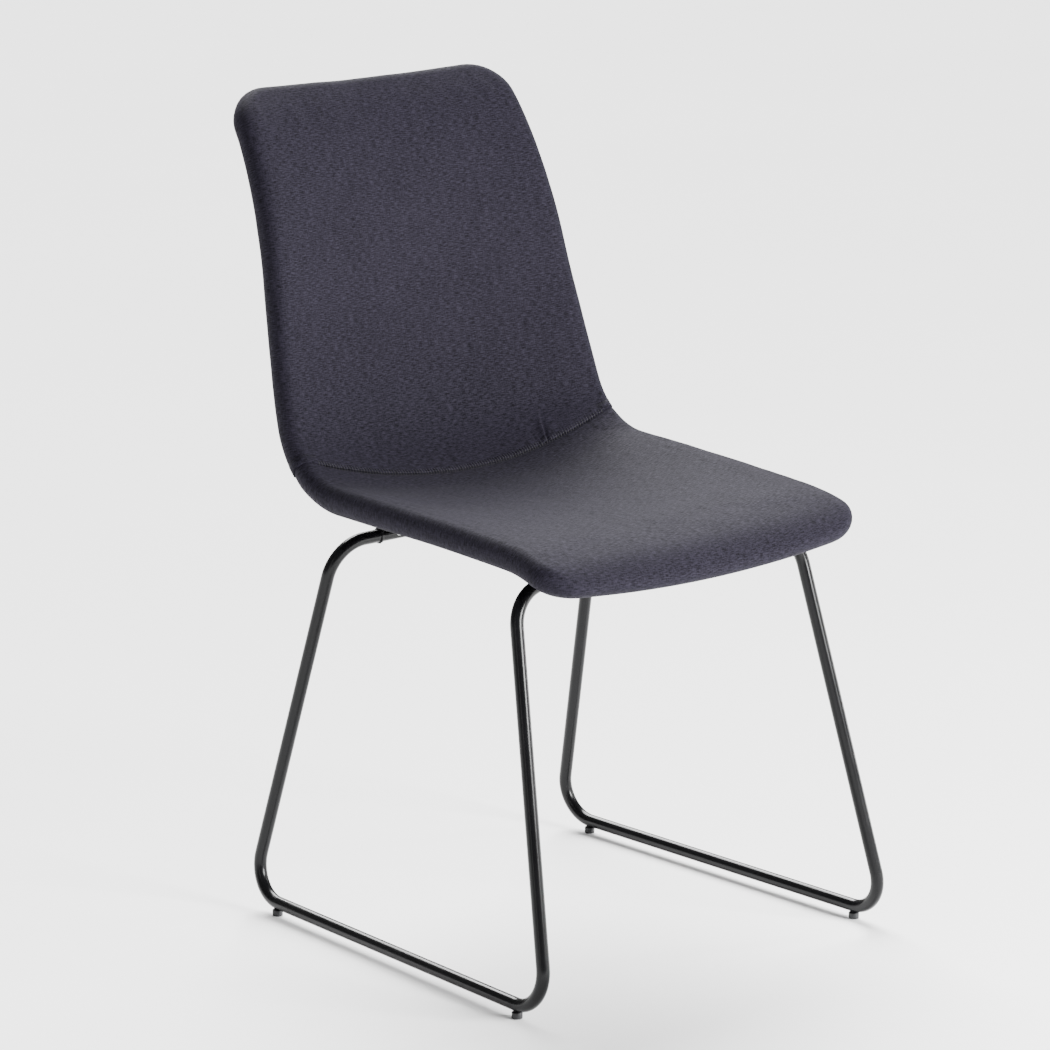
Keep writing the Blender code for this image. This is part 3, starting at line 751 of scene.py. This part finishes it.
def rear_wraps():
    """Rings that carry a rear panel out to where its edge tucks in along the front panel's."""
    rings = [(pi / 2 - (pi / 2 - WRAP_END) * i / 5, 1, 0.0) for i in range(1, 5)]
    tucked = ((1.015, 0.2), (0.98, 1.3), (0.9, 1.9))
    return rings + [(WRAP_END * share, 1, -drop * MM) for share, drop in tucked]


REAR_ROWS = 74
REAR_COLUMNS = 100
BEND_EDGE = ((4, 0.1), (2.5, 0.3), (1.2, 0.8), (0.15, 1.6), (0.12, 2.6))    # short of the bend, and drop


def make_rear_panels():
    under = corner_rows(False)
    for i in range(REAR_ROWS + 1):
        t = CORNER[0] + (BEND - 6 * MM - CORNER[0]) * i / REAR_ROWS
        under.append((pi / 2, t, 0.0, 0.0))
    under += [(pi / 2, BEND - short * MM, 0.0, -drop * MM) for short, drop in BEND_EDGE]
    back = [(pi / 2, BEND + up * MM, 0.0, -drop * MM) for up, drop in BEND_EDGE[::-1]]
    for i in range(REAR_ROWS + 1):
        t = BEND + 6 * MM + (LENGTH - CORNER[1] - BEND - 6 * MM) * i / REAR_ROWS
        back.append((pi / 2, t, 0.0, 0.0))
    back += corner_rows(True)
    lining = make_fabric("woven_black_lining", "#08070C", "#1A181F", THREAD_SPACING)

    def relief(x, t, row, sag):
        return settle(x, t + 1.3, 90 * MM, 0.5 * MM)

    for name, rows, node, slot, finish, rests_on in (
            ("underside_panel", under, "underside_cover", "underside_fabric", lining, "seat_felt_pad"),
            ("outer_back_panel", back, "outer_back_cover", "upholstery_fabric", fabric, "back_felt_pad")):
        cover = lay_panel(name, rows, 1, rear_wraps(), REAR_COLUMNS, relief)
        finish_cover(cover, finish, node)


make_rear_panels()


# ---- sled frame -----------------------------------------------------------------------------------------
# Two side loops of 14 mm steel tube, cold-bent on a mandrel, with straight cross tubes butt-welded between
# them under the seat. The whole frame is blasted and powder coated in semi-gloss black.

TUBE_R = 7 * MM
RAIL_Z = 14.5 * MM
FRONT_FOOT = (238 * MM, -252 * MM)  # where the leg and rail lines cross, x and y from the base's middle
REAR_FOOT = (221 * MM, 253 * MM)
FRONT_TOP = (193.7 * MM, -151.8 * MM, 424.5 * MM)
REAR_TOP = (182.6 * MM, 148.9 * MM, 413.5 * MM)
FOOT_BEND = 38 * MM
TOP_BEND = 42 * MM
CROSS_HALF = 125 * MM
BEND_STEPS = 18
WELD_OUT = 0.3 * MM                 # the beads' middle stands this far off the tube
WELD_STEPS = 40
BEAD_SIDES = 10


def make_powder_coat():
    """Semi-gloss black polyester powder coat: a fine orange peel breaks its narrow highlights."""
    coat, tree, shader = new_material("black_powder_coat")
    place = add(tree, "TexCoord").outputs["Object"]
    peel = add(tree, "TexNoise", {"Scale": 1 / (1.6 * MM), "Detail": 2}, {"Vector": place}).outputs["Fac"]
    patches = add(tree, "TexNoise", {"Scale": 18, "Detail": 4}, {"Vector": place}).outputs["Fac"]
    tone = add(tree, "Mix", {MIX_A: linear("#070708"), MIX_B: linear("#0D0D0F")}, {0: patches},
               data_type="RGBA").outputs[MIXED]
    rough = add(tree, "MapRange", {"From Min": 0.3, "From Max": 0.7, "To Min": 0.18, "To Max": 0.28},
                {"Value": patches}).outputs[0]
    bump = add(tree, "Bump", {"Strength": 0.12, "Distance": 0.1 * MM}, {"Height": peel})
    shader.inputs["Specular IOR Level"].default_value = 0.18
    wire(tree, shader, tone, rough, bump.outputs[0])
    return coat


def bent_route(corners, radii):
    """Centreline points through corners, each inner corner rounded to its own bend radius."""
    points = [corners[0]]
    for before, corner, after, radius in zip(corners, corners[1:], corners[2:], radii):
        a = (before - corner).normalized()
        b = (after - corner).normalized()
        half = a.angle(b) / 2
        centre = corner + (a + b).normalized() * (radius / sin(half))
        start = corner + a * (radius / sin(half) * cos(half))
        arm = start - centre
        side = (-a).cross(b).normalized().cross(arm)
        for i in range(BEND_STEPS + 1):
            angle = (pi - 2 * half) * i / BEND_STEPS
            points.append(centre + arm * cos(angle) + side * sin(angle))
    points.append(corners[-1])
    return points


powder_coat = make_powder_coat()


def make_frame():
    for side, sign in (("left", -1), ("right", 1)):
        def at(x, y, z):
            return Vector((sign * x, y - CHAIR_MIDDLE, z))
        corners = [at(CROSS_HALF, *FRONT_TOP[1:]), at(*FRONT_TOP), at(*FRONT_FOOT, RAIL_Z),
                   at(*REAR_FOOT, RAIL_Z), at(*REAR_TOP), at(CROSS_HALF, *REAR_TOP[1:])]
        route = bent_route(corners, (TOP_BEND, FOOT_BEND, FOOT_BEND, TOP_BEND))
        bm = bmesh.new()
        sweep(bm, route, [TUBE_R] * len(route))
        loop = finish_mesh(f"side_loop_{side}", bm, powder_coat)
        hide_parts(f"side_frame_{side}")
        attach(loop, "root")
    for end, (_, y, z) in (("front", FRONT_TOP), ("rear", REAR_TOP)):
        bm = bmesh.new()
        y -= CHAIR_MIDDLE
        sweep(bm, [Vector((-CROSS_HALF, y, z)), Vector((CROSS_HALF, y, z))], [TUBE_R] * 2)
        tube = finish_mesh(f"cross_bar_{end}", bm, powder_coat)
        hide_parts(f"cross_tube_{end}")
        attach(tube, "root")
        bm = bmesh.new()
        for x in (-CROSS_HALF, CROSS_HALF):
            points = [Vector((x, y + (TUBE_R + WELD_OUT) * cos(tau * i / WELD_STEPS),
                              z + (TUBE_R + WELD_OUT) * sin(tau * i / WELD_STEPS)))
                      for i in range(WELD_STEPS + 1)]
            beads = [(1.3 + 0.25 * sin(i * 2.1) + 0.2 * noise(Vector((i * 0.7, x * 9, y)))) * MM
                     for i in range(WELD_STEPS)]
            sweep(bm, points, beads + beads[:1], BEAD_SIDES)
        weld = finish_mesh(f"weld_beads_{end}", bm, powder_coat, 60)
        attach(weld, "root")


make_frame()


# ---- seat fixings ---------------------------------------------------------------------------------------
# Four flat tabs welded on the cross tubes carry the shell: each takes a button-head screw with a washer,
# up through a moulded spacer into a T-nut that was pressed into the plywood before upholstering.

FIX_X = 110 * MM
PLATE_WIDE = 24 * MM
PLATE_WELD = (4.6 * MM, 6.2 * MM)   # from the cross tube's axis, across and up
PLATE_WELD_STEPS = 16


def make_zinc():
    """Bright zinc plate, passivated: a silvery metal with a cool cast and cloudy, slightly dull patches."""
    zinc, tree, shader = new_material("bright_zinc_plate")
    place = add(tree, "TexCoord").outputs["Object"]
    cloud = add(tree, "TexNoise", {"Scale": 1 / (5 * MM), "Detail": 4}, {"Vector": place}).outputs["Fac"]
    tone = add(tree, "Mix", {MIX_A: linear("#B9BEC2"), MIX_B: linear("#D8D9D2")}, {0: cloud},
               data_type="RGBA").outputs[MIXED]
    rough = add(tree, "MapRange", {"To Min": 0.22, "To Max": 0.45}, {"Value": cloud}).outputs[0]
    bump = add(tree, "Bump", {"Strength": 0.15, "Distance": 0.05 * MM}, {"Height": cloud}).outputs[0]
    shader.inputs["Metallic"].default_value = 1.0
    wire(tree, shader, tone, rough, bump)
    return zinc


def make_polyethylene():
    """Black moulded polyethylene: matt with a fine spark-eroded grain, drawn at 0.8 mm, and faint scuffs."""
    plastic, tree, shader = new_material("black_polyethylene")
    place = add(tree, "TexCoord").outputs["Object"]
    grain = add(tree, "TexNoise", {"Scale": 1 / (0.8 * MM), "Detail": 2}, {"Vector": place}).outputs["Fac"]
    scuff = add(tree, "TexNoise", {"Scale": 1 / (6 * MM), "Detail": 5}, {"Vector": place}).outputs["Fac"]
    tone = add(tree, "Mix", {MIX_A: linear("#101012"), MIX_B: linear("#242427")}, {0: scuff},
               data_type="RGBA").outputs[MIXED]
    rough = add(tree, "MapRange", {"To Min": 0.45, "To Max": 0.7}, {"Value": scuff}).outputs[0]
    bump = add(tree, "Bump", {"Strength": 0.35, "Distance": 0.08 * MM}, {"Height": grain}).outputs[0]
    wire(tree, shader, tone, rough, bump)
    return plastic


zinc = make_zinc()
polyethylene = make_polyethylene()


def finish_fixings():
    for corner in ("front_left", "front_right", "rear_left", "rear_right"):
        give_finish(f"mounting_plate_{corner}", powder_coat)
        give_finish(f"spacer_{corner}", polyethylene)
        for piece in ("screw", "washer", "tnut"):
            give_finish(f"{piece}_{corner}", zinc)
    bm = bmesh.new()
    for _, y, z in (FRONT_TOP, REAR_TOP):
        for x in (-FIX_X, FIX_X):
            for side in (-1, 1):
                steps = range(PLATE_WELD_STEPS + 1)
                run = [Vector((x + PLATE_WIDE * (i / PLATE_WELD_STEPS - 0.5),
                               y - CHAIR_MIDDLE + side * PLATE_WELD[0], z + PLATE_WELD[1])) for i in steps]
                beads = [(1.2 + 0.3 * sin(i * 2.3 + x * 90)) * MM for i in steps]
                sweep(bm, run, beads, BEAD_SIDES)
    welds = finish_mesh("plate_welds", bm, powder_coat, 60)
    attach(welds, "root")


finish_fixings()


# ---- glides ---------------------------------------------------------------------------------------------
# Four button glides of moulded black polyethylene, their stems pressed up into holes in the sled's rails,
# keep the steel off the floor.

GLIDE_Y = (-205 * MM, 206 * MM)
GLIDE_R = 5.6 * MM
STEM_R = 2.2 * MM
GLIDE_SIDES = 32
FOOT_ROUND = 1.2 * MM
SHOULDER_ROUND = 1.4 * MM
ROUND_STEPS = 5


def make_glides():
    top = RAIL_Z - TUBE_R - 0.3 * MM
    angles = [pi / 2 * i / ROUND_STEPS for i in range(ROUND_STEPS + 1)]
    foot = [(GLIDE_R - FOOT_ROUND * (1 - sin(a)), FOOT_ROUND * (1 - cos(a))) for a in angles]
    shoulder = [(GLIDE_R - SHOULDER_ROUND * (1 - cos(a)), top - SHOULDER_ROUND * (1 - sin(a)))
                for a in angles]
    stem = [(STEM_R, top), (STEM_R, RAIL_Z - 2.4 * MM), (STEM_R - 0.4 * MM, RAIL_Z - 2 * MM)]
    stack = foot + shoulder + stem
    for end, y in zip(("front", "rear"), GLIDE_Y):
        for side, sign in (("left", -1), ("right", 1)):
            share = (y - FRONT_FOOT[1]) / (REAR_FOOT[1] - FRONT_FOOT[1])
            x = sign * (FRONT_FOOT[0] + (REAR_FOOT[0] - FRONT_FOOT[0]) * share)
            bm = bmesh.new()
            rings = [[bm.verts.new((x + radius * cos(tau * k / GLIDE_SIDES),
                                    y - CHAIR_MIDDLE + radius * sin(tau * k / GLIDE_SIDES), z))
                      for k in range(GLIDE_SIDES)] for radius, z in stack]
            for low, high in zip(rings, rings[1:]):
                for k in range(GLIDE_SIDES):
                    j = (k + 1) % GLIDE_SIDES
                    bm.faces.new((low[k], low[j], high[j], high[k]))
            bm.faces.new(rings[0][::-1])
            bm.faces.new(rings[-1])
            glide = finish_mesh(f"button_glide_{end}_{side}", bm, polyethylene)
            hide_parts(f"glide_{end}_{side}")
            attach(glide, "root")


make_glides()
